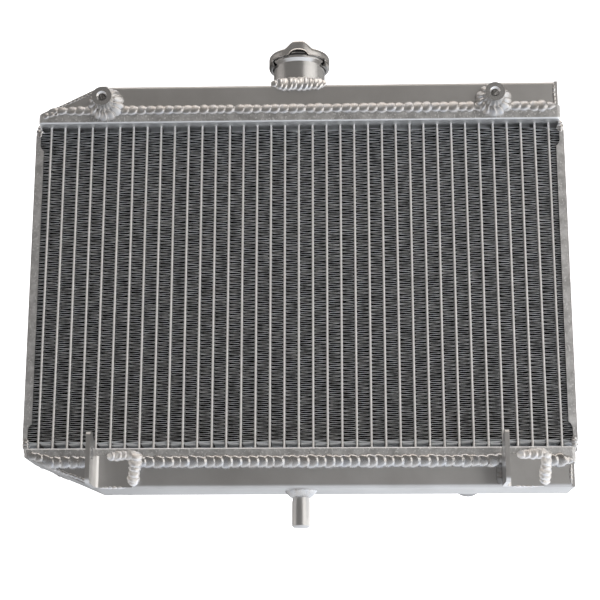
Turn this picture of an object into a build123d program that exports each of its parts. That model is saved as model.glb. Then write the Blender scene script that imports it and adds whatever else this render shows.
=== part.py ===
from build123d import *
import math
import os

# Aluminium downflow car radiator with a pressure cap.
# Frame: +X right, +Y back, +Z up, front faces -Y. Origin: middle of the bottom tank's underside.
# Millimetres throughout.

# core
TUBE_COUNT = 37
TUBE_PITCH = 10.0
TUBE_THICK = 1.7
TUBE_WALL = 0.3
CORE_DEPTH = 26.0
CORE_HEIGHT = 236.0
FIN_WIDTH = TUBE_PITCH - TUBE_THICK
FIN_SHEET = 0.3
FIN_STEP = 4.0
FIN_END_GAP = 2.0
FIN_NODES = {"fins_left": (0, 13), "fins_centre": (13, 25), "fins_right": (25, 38)}
TUBE_THROUGH = 3.0
SLOT_CLEARANCE = 0.05

# headers, each a pan whose skirt wraps the tank
HEADER_HALF = 188.0
HEADER_SHEET = 1.5
HEADER_DEPTH = 43.0
HEADER_LIP_R = 1.4
HEADER_CORNER_R = 3.0

# tanks: height from the header lip, length of the sloped left end
TANK_SHEET = 2.0
TANK_DEPTH = HEADER_DEPTH - 2 * HEADER_SHEET
TANK_HALF = HEADER_HALF - HEADER_SHEET
TANK_BEND_R = 2.5
TOP_TANK_H = 29.0
TOP_SKIRT_H = 10.5
TOP_SLOPE_START_H = 7.5
TOP_SLOPE_END_X = -143.5
BOTTOM_TANK_H = 27.5
BOTTOM_SKIRT_H = 11.0
BOTTOM_SLOPE_START_H = 6.5
BOTTOM_SLOPE_END_X = -137.5

BOTTOM_LIP_Z = BOTTOM_TANK_H
TOP_LIP_Z = BOTTOM_LIP_Z + CORE_HEIGHT
TOP_Z = TOP_LIP_Z + TOP_TANK_H

# weld beads
SEAM_PROUD = 2.0
TOP_SEAM_HALF_H = 2.3
BOTTOM_SEAM_HALF_H = 3.2
SEAM_END_INSET = 3.0
EDGE_BEAD_R = 1.3

# side plates
SIDE_SHEET = 1.5
SIDE_FLANGE_SHEET = 1.2
SIDE_FLANGE_W = 5.8
SIDE_FLANGE_END_W = 3.2
SIDE_FLANGE_END_L = 7.0
SIDE_STEP_R = 6.0
SIDE_END_GAP = 6.0
SIDE_WEB_GAP = 1.5
SIDE_TAB_DEPTH = 18.0

# filler neck
NECK_R = 18.8
NECK_WALL = 1.8
NECK_BOTTOM_Z = TOP_Z - 4.0
NECK_HOLE_CLEARANCE = 0.05
SEAT_Z = TOP_Z + 3.5
SEAT_THICK = 1.5
SEAT_BORE_R = 13.0
FLANGE_R = 20.8
FLANGE_CONE_Z = TOP_Z + 19.0
FLANGE_LOW_Z = TOP_Z + 21.0
FLANGE_TOP_Z = TOP_Z + 22.8
NOTCH_R = 19.05
NECK_WELD_R = 2.4
NECK_WELD_RING_R = 19.9

# pressure cap shell
CAP_R = 22.3
CAP_SHEET = 1.0
CAP_LOW_Z = FLANGE_LOW_Z + 1.5
CAP_TOP_Z = CAP_LOW_Z + 6.5
CAP_EDGE_R = 2.0
EAR_HEIGHT = 4.3
EAR_BASE_W = 18.0
EAR_TOP_W = 9.0
EAR_INNER_R = 11.0
EAR_GAP_W = 15.0
EAR_GAP_H = 4.2
LOCK_TAB_W = 20.0
LOCK_TAB_DROP = 4.0
LOCK_TAB_INNER_R = 19.5
CAP_RIVET_HOLE_R = 2.6

# inside the cap
GASKET_THICK = 1.5
GASKET_IN_R = 15.0
GASKET_OUT_R = 20.4
DISC_THICK = 0.8
DISC_R = 20.6
BELL_R = 14.0
BELL_SHEET = 0.8
BELL_LOW_Z = SEAT_Z + 6.0
BELL_LIP_BORE_R = 11.5
VALVE_FLANGE_R = 12.9
VALVE_NECK_R = 11.2
VALVE_SEAL_R = 15.0
VALVE_GASKET_THICK = 1.9
VALVE_PLATE_THICK = 1.0
VALVE_HOLE_R = 4.5
SPRING_R = 9.9
SPRING_WIRE = 1.8
SPRING_TURNS = 3.5
SPRING_END_GAP = 0.1
VACUUM_DISC_R = 7.0
VACUUM_STEM_R = 1.2
VACUUM_HEAD_R = 3.3
VACUUM_STEM_H = 4.5
VACUUM_SPRING_R = 2.4
VACUUM_SPRING_WIRE = 0.5
VACUUM_SPRING_TURNS = 3.5

# overflow pipe on the neck
OVERFLOW_Z = TOP_Z + 11.0
OVERFLOW_R = 4.0
OVERFLOW_BORE_R = 2.5
OVERFLOW_END_Y = 42.0
OVERFLOW_BEAD_R = 4.7
OVERFLOW_BEAD_L = 3.0
OVERFLOW_BEAD_SETBACK = 4.0

# hose pipes on the back
PIPE_R = 11.0
PIPE_WALL = 1.5
PIPE_END_Y = 60.0
PIPE_BEAD_R = 12.0
PIPE_BEAD_L = 4.0
PIPE_BEAD_SETBACK = 5.0
PIPE_WELD_R = 2.5
INLET_X = -120.0
INLET_Z = TOP_Z - 14.5
OUTLET_X = 120.0
OUTLET_Z = 14.2

# upper mounting bosses
BOSS_X = 140.0
BOSS_Z = TOP_Z - 14.5
BOSS_R = 7.0
BOSS_LENGTH = 18.0
BOSS_THREAD_R = 2.5
BOSS_THREAD_DEPTH = 14.0
BOSS_MOUTH_R = 3.75
BOSS_WELD_R = 4.0

# lower brackets, bent plates
BRACKET_X = (-140.5, 137.3)
BRACKET_SHEET = 3.0
BRACKET_PLATE_W = 28.0
BRACKET_PLATE_H = 21.5
BRACKET_BLADE_H = 35.0
BRACKET_REACH = 28.5
BRACKET_BLADE_TOP = 8.0
BRACKET_CORNER_R = 3.5
BRACKET_BEND_R = 3.0
BRACKET_HOLE_R = 4.25
BRACKET_HOLE_Z = 21.0
BRACKET_HOLE_SETBACK = 9.0
BRACKET_WELD_R = 3.0

# locating peg
PEG_X = 1.3
PEG_R = 6.2
PEG_ROOT_R = 5.9
PEG_ROOT_L = 7.0
PEG_LENGTH = 25.0
PEG_CHAMFER = 1.2
PEG_WELD_R = 12.0
PEG_WELD_H = 6.5

# drain on the back of the bottom tank
DRAIN_X = -120.0
DRAIN_Z = 9.0
DRAIN_BUNG_R = 7.5
DRAIN_BUNG_OUT = 7.0
DRAIN_BUNG_IN = 4.0
DRAIN_BORE_R = 5.0
DRAIN_SHANK_R = 4.95
DRAIN_SHANK_L = 9.5
DRAIN_WASHER_R = 7.2
DRAIN_WASHER_BORE_R = 5.2
DRAIN_WASHER_THICK = 1.2
DRAIN_HEX_FLATS = 12.0
DRAIN_HEX_H = 5.0
DRAIN_WELD_R = 1.6

HALF_DEPTH = TANK_DEPTH / 2
SKIRT_Y = HEADER_DEPTH / 2
BIG = 600.0


def top_side(shape):
    """Place a shape drawn with heights measured from the lip on top of the core."""
    return Pos(0, 0, TOP_LIP_Z) * shape


def bottom_side(shape):
    """Place the same kind of shape, turned over, under the core."""
    return Pos(0, 0, BOTTOM_LIP_Z) * mirror(shape, about=Plane.XY)


def plate_xz(points, y_low, y_high):
    """A flat outline in X and Z, thick from y_low to y_high."""
    outline = make_face(Polyline(*[(x, 0, z) for x, z in points], close=True))
    return Pos(0, y_low, 0) * extrude(outline, y_high - y_low, dir=(0, 1, 0))


def block(x_low, x_high, y_low, y_high, z_low, z_high):
    size = (x_high - x_low, y_high - y_low, z_high - z_low)
    middle = ((x_low + x_high) / 2, (y_low + y_high) / 2, (z_low + z_high) / 2)
    return Pos(*middle) * Box(*size)


def plate_yz(points, x_low, x_high):
    """A plate with the given outline in Y and Z."""
    outline = make_face(Polyline(*[(0, y, z) for y, z in points], close=True))
    return Pos(x_low, 0, 0) * extrude(outline, x_high - x_low, dir=(1, 0, 0))


def rod_y(x, z, radius, y_low, y_high):
    """A cylinder along Y."""
    return Pos(x, (y_low + y_high) / 2, z) * Rot(90, 0, 0) * Cylinder(radius, y_high - y_low)


def rod_z(x, y, radius, z_low, z_high):
    """A cylinder along Z."""
    return Pos(x, y, (z_low + z_high) / 2) * Cylinder(radius, z_high - z_low)


def turned(profile):
    """A solid of revolution about Z from (radius, height) points."""
    outline = make_face(Polyline(*[(r, 0, z) for r, z in profile], close=True))
    return revolve(outline, Axis.Z)


def turned_y(profile, x, z):
    """A solid of revolution about a line along +Y from (radius, y) points."""
    return Pos(x, 0, z) * Rot(-90, 0, 0) * turned(profile)


def solids_of(shape):
    return ShapeList(s for s in shape.solids() if s.volume > 1e-3)


def group(shapes):
    """Separate solids that share one node."""
    return Compound([s for shape in shapes for s in solids_of(shape)])


# ---- core ----

def tube_section(grow, inset=0.0):
    length = CORE_DEPTH + 2 * grow - 2 * inset
    width = TUBE_THICK + 2 * grow - 2 * inset
    return SlotOverall(length, width, rotation=90)


def tube_places():
    first = -(TUBE_COUNT - 1) / 2 * TUBE_PITCH
    return [first + i * TUBE_PITCH for i in range(TUBE_COUNT)]


def core_tubes():
    low = BOTTOM_LIP_Z - TUBE_THROUGH
    length = CORE_HEIGHT + 2 * TUBE_THROUGH
    tube = extrude(tube_section(0) - tube_section(0, TUBE_WALL), length)
    return group(Pos(x, 0, low) * tube for x in tube_places())


def fin_strip():
    """One folded strip: a zigzag sheet that spans the space between two tubes."""
    low = BOTTOM_LIP_Z + FIN_END_GAP
    high = TOP_LIP_Z - FIN_END_GAP
    folds = round((high - low) / FIN_STEP)
    step = (high - low) / folds
    reach = FIN_WIDTH / 2
    left = [((-reach if i % 2 == 0 else reach - FIN_SHEET), low + i * step) for i in range(folds + 1)]
    right = [(x + FIN_SHEET, z) for x, z in reversed(left)]
    return plate_xz(left + right, -CORE_DEPTH / 2, CORE_DEPTH / 2)


def fin_groups():
    strip = fin_strip()
    first = -TUBE_COUNT / 2 * TUBE_PITCH
    places = [first + i * TUBE_PITCH for i in range(TUBE_COUNT + 1)]
    return {
        name: group(Pos(x, 0, 0) * strip for x in places[start:end])
        for name, (start, end) in FIN_NODES.items()
    }


def flange_outline():
    """Right side plate's front flange, narrower at both ends with a curved step."""
    outer = TUBE_COUNT / 2 * TUBE_PITCH + FIN_WIDTH / 2 + SIDE_SHEET
    low = BOTTOM_LIP_Z + SIDE_END_GAP
    high = TOP_LIP_Z - SIDE_END_GAP
    wide = outer - SIDE_FLANGE_W
    narrow = outer - SIDE_FLANGE_END_W
    blank = block(wide, outer, 0, SIDE_FLANGE_SHEET, low, high)
    for end, inward in ((low, 1), (high, -1)):
        ledge = end + inward * SIDE_FLANGE_END_L
        blank -= block(wide - 1, narrow, -1, SIDE_FLANGE_SHEET + 1, *sorted((end, ledge)))
        blank -= rod_y(narrow - SIDE_STEP_R, ledge, SIDE_STEP_R, -1, SIDE_FLANGE_SHEET + 1)
    return blank


def side_plate():
    """Right side plate: web outside the last fin, flanges over both core faces, end tabs."""
    inner = TUBE_COUNT / 2 * TUBE_PITCH + FIN_WIDTH / 2
    outer = inner + SIDE_SHEET
    half = CORE_DEPTH / 2
    flange = flange_outline()
    plate = block(inner, outer, -half, half, BOTTOM_LIP_Z + SIDE_WEB_GAP, TOP_LIP_Z - SIDE_WEB_GAP)
    tab = SIDE_TAB_DEPTH / 2
    header_inside = HEADER_HALF - SIDE_SHEET
    plate += block(inner, outer, -tab, tab, BOTTOM_LIP_Z - SIDE_SHEET, TOP_LIP_Z + SIDE_SHEET)
    for z_low in (BOTTOM_LIP_Z - SIDE_SHEET, TOP_LIP_Z):
        plate -= block(header_inside, HEADER_HALF, -half, half, z_low, z_low + SIDE_SHEET)
    plate += Pos(0, -half - SIDE_FLANGE_SHEET, 0) * flange
    plate += Pos(0, half, 0) * flange
    return plate


# ---- headers and tanks, drawn upright with heights from the lip ----

def slope_line(start_h, end_x, height, sheet):
    """Corner points of the sloped end on the outside, then inside the end sheet."""
    run = TANK_HALF + end_x
    rise = height - start_h
    length = math.hypot(run, rise)
    sin_a = rise / length
    cos_a = run / length
    inner_start = start_h - sheet * cos_a + sheet * (1 - sin_a) * sin_a / cos_a
    along = (rise + sheet * cos_a) / sin_a
    inner_end_x = -TANK_HALF + sheet * sin_a + along * cos_a
    return inner_start, inner_end_x


def header(height, skirt, start_h, end_x):
    """Pan with a slot for every tube; its skirt follows the tank's sloped end."""
    slope = (height - start_h) / (TANK_HALF + end_x)
    start = start_h - HEADER_SHEET * slope
    turn_x = -TANK_HALF + (skirt - start_h) / slope
    outline = [
        (-HEADER_HALF, 0), (-HEADER_HALF, start), (turn_x, skirt), (HEADER_HALF, skirt), (HEADER_HALF, 0),
    ]
    pan = plate_xz(outline, -SKIRT_Y, SKIRT_Y)
    corners = pan.edges().filter_by(Axis.Z).group_by(Axis.X)
    pan = fillet(corners[0] + corners[-1], HEADER_CORNER_R)
    pan = fillet(pan.faces().sort_by(Axis.Z)[0].outer_wire().edges(), HEADER_LIP_R)
    pan -= block(-TANK_HALF, TANK_HALF, -HALF_DEPTH, HALF_DEPTH, HEADER_SHEET, height)
    slots = Sketch() + [Pos(x, 0) * tube_section(SLOT_CLEARANCE) for x in tube_places()]
    return pan - Pos(0, 0, -1) * extrude(slots, HEADER_SHEET + 2)


def tank_shell(height, start_h, end_x):
    """Folded channel: front, outer and back walls, cut to take the end sheets."""
    inner_start, inner_end_x = slope_line(start_h, end_x, height, TANK_SHEET)
    outline = [
        (-TANK_HALF + TANK_SHEET, HEADER_SHEET), (-TANK_HALF + TANK_SHEET, inner_start),
        (inner_end_x, height), (TANK_HALF - TANK_SHEET, height), (TANK_HALF - TANK_SHEET, HEADER_SHEET),
    ]
    shell = plate_xz(outline, -HALF_DEPTH, HALF_DEPTH)
    folds = shell.faces().sort_by(Axis.Z)[-1].edges().filter_by(Axis.X)
    shell = fillet(folds, TANK_BEND_R)
    inside = HALF_DEPTH - TANK_SHEET
    return shell - block(-BIG, BIG, -inside, inside, 0, height - TANK_SHEET)


def tank_left_end(height, start_h, end_x):
    """Bent sheet: a short upright and the slope."""
    inner_start, inner_end_x = slope_line(start_h, end_x, height, TANK_SHEET)
    outline = [
        (-TANK_HALF, HEADER_SHEET), (-TANK_HALF, start_h), (end_x, height), (inner_end_x, height),
        (-TANK_HALF + TANK_SHEET, inner_start), (-TANK_HALF + TANK_SHEET, HEADER_SHEET),
    ]
    return plate_xz(outline, -HALF_DEPTH, HALF_DEPTH)


def tank_right_end(height):
    return block(TANK_HALF - TANK_SHEET, TANK_HALF, -HALF_DEPTH, HALF_DEPTH, HEADER_SHEET, height)


def seam_weld(skirt, half_h):
    """Bead along the skirt's edge, front and back."""
    profile = Plane.YZ * Ellipse(SEAM_PROUD, half_h)
    left = -TANK_HALF + SEAM_END_INSET + 2 * skirt
    bead = extrude(profile, TANK_HALF - left)
    return Pos(left, -SKIRT_Y, skirt) * bead + Pos(left, SKIRT_Y, skirt) * bead


def end_welds(height, start_h, end_x, skirt):
    """Beads along the edges of both end sheets."""
    run = TANK_HALF + end_x
    rise = height - start_h
    angle = math.degrees(math.atan2(rise, run))
    length = math.hypot(run, rise)
    beads = None
    for y in (-HALF_DEPTH, HALF_DEPTH):
        slope_rod = rod_z(0, 0, EDGE_BEAD_R, 0, length)
        slope_bead = Pos(-TANK_HALF, y, start_h) * Rot(0, 90 - angle, 0) * slope_rod
        end_bead = rod_z(TANK_HALF, y, EDGE_BEAD_R, skirt, height - EDGE_BEAD_R)
        beads = slope_bead + end_bead if beads is None else beads + slope_bead + end_bead
    return beads


# ---- filler neck and overflow ----

def filler_neck():
    bore = NECK_R - NECK_WALL
    profile = [
        (bore, NECK_BOTTOM_Z), (NECK_R, NECK_BOTTOM_Z), (NECK_R, FLANGE_CONE_Z), (FLANGE_R, FLANGE_LOW_Z),
        (FLANGE_R, FLANGE_TOP_Z), (bore, FLANGE_TOP_Z), (bore, SEAT_Z), (SEAT_BORE_R, SEAT_Z),
        (SEAT_BORE_R, SEAT_Z - SEAT_THICK), (bore, SEAT_Z - SEAT_THICK),
    ]
    neck = turned(profile)
    half_notch = LOCK_TAB_W / 2 + 1.0
    rim = rod_z(0, 0, FLANGE_R + 1, FLANGE_CONE_Z - 1, FLANGE_TOP_Z + 1)
    rim -= rod_z(0, 0, NOTCH_R, FLANGE_CONE_Z - 2, FLANGE_TOP_Z + 2)
    neck -= rim & block(-BIG, BIG, -half_notch, half_notch, 0, BIG)
    return neck - rod_y(0, OVERFLOW_Z, OVERFLOW_R, 0, BIG)


def beaded_profile(bore, radius, start, end, bead_r, bead_l, setback):
    """Half section of a hose pipe whose bead leaves a short plain end in front of it."""
    bead_end = end - setback
    return [
        (bore, start), (radius, start), (radius, bead_end - bead_l), (bead_r, bead_end - bead_l / 2),
        (radius, bead_end), (radius, end), (bore, end),
    ]


def overflow_pipe():
    start = math.sqrt((NECK_R - NECK_WALL) ** 2 - OVERFLOW_R**2)
    profile = beaded_profile(
        OVERFLOW_BORE_R, OVERFLOW_R, start, OVERFLOW_END_Y,
        OVERFLOW_BEAD_R, OVERFLOW_BEAD_L, OVERFLOW_BEAD_SETBACK,
    )
    return turned_y(profile, 0, OVERFLOW_Z)


def neck_weld(cutters):
    ring = Pos(0, 0, TOP_Z) * Torus(NECK_WELD_RING_R, NECK_WELD_R)
    for cutter in cutters:
        ring -= cutter
    return ring


# ---- pressure cap ----

def ear_bump(drop):
    """Raised ear along -Y; drop shrinks it by the sheet's thickness for the inside."""
    top = CAP_TOP_Z + EAR_HEIGHT - drop
    section = [
        (-EAR_BASE_W / 2 + drop, CAP_TOP_Z - CAP_SHEET), (-EAR_TOP_W / 2 + drop / 2, top),
        (EAR_TOP_W / 2 - drop / 2, top), (EAR_BASE_W / 2 - drop, CAP_TOP_Z - CAP_SHEET),
    ]
    bump = plate_xz(section, -CAP_R, -EAR_INNER_R - drop)
    ramp = [(-EAR_INNER_R - drop, CAP_TOP_Z - CAP_SHEET), (-EAR_INNER_R - drop - EAR_HEIGHT, top + 0.01),
            (-EAR_INNER_R + 1, top + 0.01), (-EAR_INNER_R + 1, CAP_TOP_Z - CAP_SHEET)]
    wedge = make_face(Polyline(*[(0, y, z) for y, z in ramp], close=True))
    bump -= Pos(-EAR_BASE_W, 0, 0) * extrude(wedge, 2 * EAR_BASE_W, dir=(1, 0, 0))
    return bump & rod_z(0, 0, CAP_R - drop, 0, BIG)


def cap_shell():
    crown = rod_z(0, 0, CAP_R, CAP_LOW_Z, CAP_TOP_Z)
    crown = fillet(crown.faces().sort_by(Axis.Z)[-1].edges(), CAP_EDGE_R)
    cavity = rod_z(0, 0, CAP_R - CAP_SHEET, CAP_LOW_Z - 1, CAP_TOP_Z - CAP_SHEET)
    cavity = fillet(cavity.faces().sort_by(Axis.Z)[-1].edges(), CAP_EDGE_R - CAP_SHEET)
    for turn in (0, 180):
        crown += Rot(0, 0, turn) * ear_bump(0)
        cavity += Rot(0, 0, turn) * ear_bump(CAP_SHEET)
    shell = crown - cavity
    shell -= block(-EAR_GAP_W / 2, EAR_GAP_W / 2, -BIG, BIG, CAP_LOW_Z - 1, CAP_LOW_Z + EAR_GAP_H)
    shell -= rod_z(0, 0, CAP_RIVET_HOLE_R, CAP_LOW_Z, BIG)
    tab_low = CAP_LOW_Z - LOCK_TAB_DROP
    band = rod_z(0, 0, CAP_R, tab_low, CAP_LOW_Z) - rod_z(0, 0, CAP_R - CAP_SHEET, tab_low - 1, CAP_LOW_Z)
    foot = rod_z(0, 0, CAP_R, tab_low, tab_low + CAP_SHEET)
    foot -= rod_z(0, 0, LOCK_TAB_INNER_R, tab_low - 1, CAP_LOW_Z)
    strip = block(-BIG, BIG, -LOCK_TAB_W / 2, LOCK_TAB_W / 2, 0, BIG)
    return shell + (band & strip) + (foot & strip)


def cap_gasket():
    return rod_z(0, 0, GASKET_OUT_R, FLANGE_TOP_Z, FLANGE_TOP_Z + GASKET_THICK) - rod_z(
        0, 0, GASKET_IN_R, 0, BIG
    )


def cap_spring_disc():
    low = FLANGE_TOP_Z + GASKET_THICK
    disc = rod_z(0, 0, DISC_R, low, low + DISC_THICK)
    return disc - rod_z(0, 0, CAP_RIVET_HOLE_R, 0, BIG)


def cap_rivet():
    """Holds the bell and spring disc under the shell, which turns on it."""
    bell_top = FLANGE_TOP_Z + GASKET_THICK
    shank = CAP_RIVET_HOLE_R - 0.06
    inside = CAP_TOP_Z - CAP_SHEET
    profile = [
        (0, bell_top - BELL_SHEET - 1.0), (4.5, bell_top - BELL_SHEET - 1.0), (4.5, bell_top - BELL_SHEET),
        (shank, bell_top - BELL_SHEET), (shank, bell_top + DISC_THICK), (4.5, bell_top + DISC_THICK),
        (4.5, inside - 0.1), (shank, inside - 0.1), (shank, CAP_TOP_Z + 0.1), (4.5, CAP_TOP_Z + 0.1),
        (3.6, CAP_TOP_Z + 1.1), (0, CAP_TOP_Z + 1.4),
    ]
    return turned(profile)


def valve_bell():
    """Cup that holds the pressure spring; its curled lip keeps the valve plate."""
    top = FLANGE_TOP_Z + GASKET_THICK
    inner = BELL_R - BELL_SHEET
    profile = [
        (CAP_RIVET_HOLE_R, top - BELL_SHEET), (inner, top - BELL_SHEET), (inner, BELL_LOW_Z + BELL_SHEET),
        (BELL_LIP_BORE_R, BELL_LOW_Z + BELL_SHEET), (BELL_LIP_BORE_R, BELL_LOW_Z), (BELL_R, BELL_LOW_Z),
        (BELL_R, top), (CAP_RIVET_HOLE_R, top),
    ]
    return turned(profile)


def valve_plate_z():
    """Underside of the pressure valve's plate, on its gasket."""
    return SEAT_Z + VALVE_GASKET_THICK + 0.02


def pressure_valve_plate():
    low = valve_plate_z()
    flange_low = BELL_LOW_Z + BELL_SHEET + 0.05
    neck_in = VALVE_NECK_R - 1.0
    profile = [
        (VALVE_HOLE_R, low), (VALVE_SEAL_R, low), (VALVE_SEAL_R, low + VALVE_PLATE_THICK),
        (VALVE_NECK_R, low + VALVE_PLATE_THICK), (VALVE_NECK_R, flange_low), (VALVE_FLANGE_R, flange_low),
        (VALVE_FLANGE_R, flange_low + VALVE_PLATE_THICK), (neck_in - 1.5, flange_low + VALVE_PLATE_THICK),
        (neck_in - 1.5, flange_low), (neck_in, flange_low), (neck_in, low + VALVE_PLATE_THICK),
        (VALVE_HOLE_R, low + VALVE_PLATE_THICK),
    ]
    return turned(profile)


def pressure_valve_gasket():
    low = SEAT_Z + 0.02
    return rod_z(0, 0, VALVE_SEAL_R, low, low + VALVE_GASKET_THICK) - rod_z(0, 0, VACUUM_DISC_R + 1, 0, BIG)


def coil_spring(radius, wire, turns, low, high):
    """Open helical spring between two flat seats."""
    height = high - low - wire - 2 * SPRING_END_GAP
    path = Helix(pitch=height / turns, height=height, radius=radius)
    section = Plane(origin=path @ 0, z_dir=path % 0) * Circle(wire / 2)
    return Pos(0, 0, low + wire / 2 + SPRING_END_GAP) * sweep(section, path=path, is_frenet=True)


def pressure_spring():
    low = BELL_LOW_Z + BELL_SHEET + 0.05 + VALVE_PLATE_THICK
    high = FLANGE_TOP_Z + GASKET_THICK - BELL_SHEET
    return coil_spring(SPRING_R, SPRING_WIRE, SPRING_TURNS, low, high)


def vacuum_valve():
    low = valve_plate_z()
    profile = [
        (0, low - 1.0), (VACUUM_DISC_R, low - 1.0), (VACUUM_DISC_R, low), (VACUUM_STEM_R, low),
        (VACUUM_STEM_R, low + VACUUM_STEM_H), (VACUUM_HEAD_R, low + VACUUM_STEM_H),
        (VACUUM_HEAD_R, low + VACUUM_STEM_H + 0.6), (0, low + VACUUM_STEM_H + 0.6),
    ]
    return turned(profile)


def vacuum_guide():
    """Crossbar ring that carries the vacuum spring over the valve plate's hole."""
    low = valve_plate_z() + VALVE_PLATE_THICK
    ring = rod_z(0, 0, VALVE_HOLE_R + 2.0, low, low + 0.6) - rod_z(0, 0, VALVE_HOLE_R, 0, BIG)
    bar = block(-VALVE_HOLE_R - 1, VALVE_HOLE_R + 1, -1.5, 1.5, low, low + 0.6)
    hub = rod_z(0, 0, VACUUM_SPRING_R + 0.6, low, low + 0.6)
    return ring + bar + hub - rod_z(0, 0, VACUUM_STEM_R + 0.08, 0, BIG)


def vacuum_spring():
    low = valve_plate_z() + VALVE_PLATE_THICK + 0.6
    high = valve_plate_z() + VACUUM_STEM_H
    return coil_spring(VACUUM_SPRING_R, VACUUM_SPRING_WIRE, VACUUM_SPRING_TURNS, low, high)


# ---- pipes, bosses, brackets, peg, drain ----

def hose_pipe(x, z):
    profile = beaded_profile(
        PIPE_R - PIPE_WALL, PIPE_R, HALF_DEPTH - TANK_SHEET, PIPE_END_Y,
        PIPE_BEAD_R, PIPE_BEAD_L, PIPE_BEAD_SETBACK,
    )
    return turned_y(profile, x, z)


def ring_weld(x, z, radius, y_root, proud, cutters):
    """Fillet bead around a round part that stands off a wall; proud is signed along Y."""
    reach = abs(proud)
    crown = y_root + proud
    profile = [(radius - 1, y_root), (radius + reach, y_root), (radius, crown), (radius - 1, crown)]
    ring = turned_y(profile, x, z)
    for cutter in cutters:
        ring -= cutter
    return ring


def upper_boss(x):
    """Round bar with a blind threaded hole, its root fitted over the header's skirt."""
    face = -HALF_DEPTH - BOSS_LENGTH
    mouth = BOSS_MOUTH_R - BOSS_THREAD_R
    boss = rod_y(x, BOSS_Z, BOSS_R, face, -HALF_DEPTH)
    hole = [
        (0, face - 1), (BOSS_MOUTH_R, face - 1), (BOSS_MOUTH_R, face), (BOSS_THREAD_R, face + mouth),
        (BOSS_THREAD_R, face + BOSS_THREAD_DEPTH), (0, face + BOSS_THREAD_DEPTH),
    ]
    return boss - turned_y(hole, x, BOSS_Z)


def lower_bracket(x):
    """Bent plate: a plate on the header's skirt and a blade that reaches forward."""
    back = -SKIRT_Y
    front = back - BRACKET_SHEET
    tip = back - BRACKET_REACH
    plate = block(x, x + BRACKET_PLATE_W, front, back, 0, BRACKET_PLATE_H)
    blade = block(x, x + BRACKET_SHEET, tip, back, 0, BRACKET_BLADE_H)
    blade = fillet(blade.edges().filter_by(Axis.X).group_by(Axis.Y)[0], BRACKET_CORNER_R)
    slope = [(tip + BRACKET_BLADE_TOP, BRACKET_BLADE_H), (back, BRACKET_BLADE_H), (back, BRACKET_PLATE_H)]
    blade -= Pos(x, 0, 0) * plate_yz(slope, 0, BRACKET_SHEET)
    inside = x + BRACKET_SHEET
    web = block(inside, inside + BRACKET_BEND_R, front - BRACKET_BEND_R, front, 0, BRACKET_PLATE_H)
    web -= rod_z(inside + BRACKET_BEND_R, front - BRACKET_BEND_R, BRACKET_BEND_R, -1, BRACKET_BLADE_H)
    bracket = plate + blade + web
    outer_bend = bracket.edges().filter_by(Axis.Z).sort_by(Axis.Y)
    corner = [e for e in outer_bend if abs(e.center().X - x) < 0.01 and abs(e.center().Y - back) < 0.01]
    bracket = fillet(corner, BRACKET_BEND_R)
    hole = Pos(x, tip + BRACKET_HOLE_SETBACK, BRACKET_HOLE_Z) * Rot(0, 90, 0)
    return bracket - hole * Cylinder(BRACKET_HOLE_R, 3 * BRACKET_SHEET)


def bracket_welds(cutters):
    """Beads along the plate's far edge and both roots of each bracket."""
    beads = None
    for x in BRACKET_X:
        far = x + BRACKET_PLATE_W
        plate_edge = rod_z(far, -SKIRT_Y, BRACKET_WELD_R, 0.5, BRACKET_PLATE_H)
        top_edge = Pos(far - 6, -SKIRT_Y, BRACKET_PLATE_H) * Rot(0, 90, 0) * Cylinder(BRACKET_WELD_R, 12)
        root = rod_z(x, -SKIRT_Y, BRACKET_WELD_R, 6, BRACKET_PLATE_H - 4)
        joined = plate_edge + top_edge + root
        beads = joined if beads is None else beads + joined
    for cutter in cutters:
        beads -= cutter
    return beads


def locating_peg():
    """Round bar with a slightly thinner root, where the weld goes round it."""
    peg = rod_z(PEG_X, 0, PEG_R, -PEG_LENGTH, -PEG_ROOT_L)
    peg = chamfer(peg.faces().sort_by(Axis.Z)[0].edges(), PEG_CHAMFER)
    return peg + rod_z(PEG_X, 0, PEG_ROOT_R, -PEG_ROOT_L, 0)


def peg_weld():
    """Concave fillet around the peg's root."""
    rise = PEG_WELD_R - PEG_ROOT_R
    outline = Polyline((PEG_ROOT_R, 0, -PEG_WELD_H), (PEG_ROOT_R, 0, 0), (PEG_WELD_R, 0, 0))
    hollow = ThreePointArc(
        (PEG_WELD_R, 0, 0), (PEG_ROOT_R + 0.35 * rise, 0, -0.35 * PEG_WELD_H), (PEG_ROOT_R, 0, -PEG_WELD_H)
    )
    return Pos(PEG_X, 0, 0) * revolve(make_face(outline + hollow), Axis.Z)


def drain_bung():
    low = HALF_DEPTH - TANK_SHEET - DRAIN_BUNG_IN
    high = HALF_DEPTH + DRAIN_BUNG_OUT
    bung = rod_y(DRAIN_X, DRAIN_Z, DRAIN_BUNG_R, low, high)
    return bung - rod_y(DRAIN_X, DRAIN_Z, DRAIN_BORE_R, low - 1, high + 1)


def drain_washer():
    low = HALF_DEPTH + DRAIN_BUNG_OUT
    ring = rod_y(DRAIN_X, DRAIN_Z, DRAIN_WASHER_R, low, low + DRAIN_WASHER_THICK)
    return ring - rod_y(DRAIN_X, DRAIN_Z, DRAIN_WASHER_BORE_R, low - 1, low + 3)


def drain_plug():
    seat = HALF_DEPTH + DRAIN_BUNG_OUT + DRAIN_WASHER_THICK
    shank = rod_y(DRAIN_X, DRAIN_Z, DRAIN_SHANK_R, seat - DRAIN_SHANK_L, seat + 1)
    corner_r = DRAIN_HEX_FLATS / math.sqrt(3)
    hexagon = extrude(RegularPolygon(corner_r, 6), DRAIN_HEX_H)
    head = Pos(DRAIN_X, seat, DRAIN_Z) * Rot(-90, 0, 0) * hexagon
    collar = rod_y(DRAIN_X, DRAIN_Z, DRAIN_WASHER_R, seat, seat + 1.2)
    return shank + head + collar


# ---- assembly ----

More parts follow.
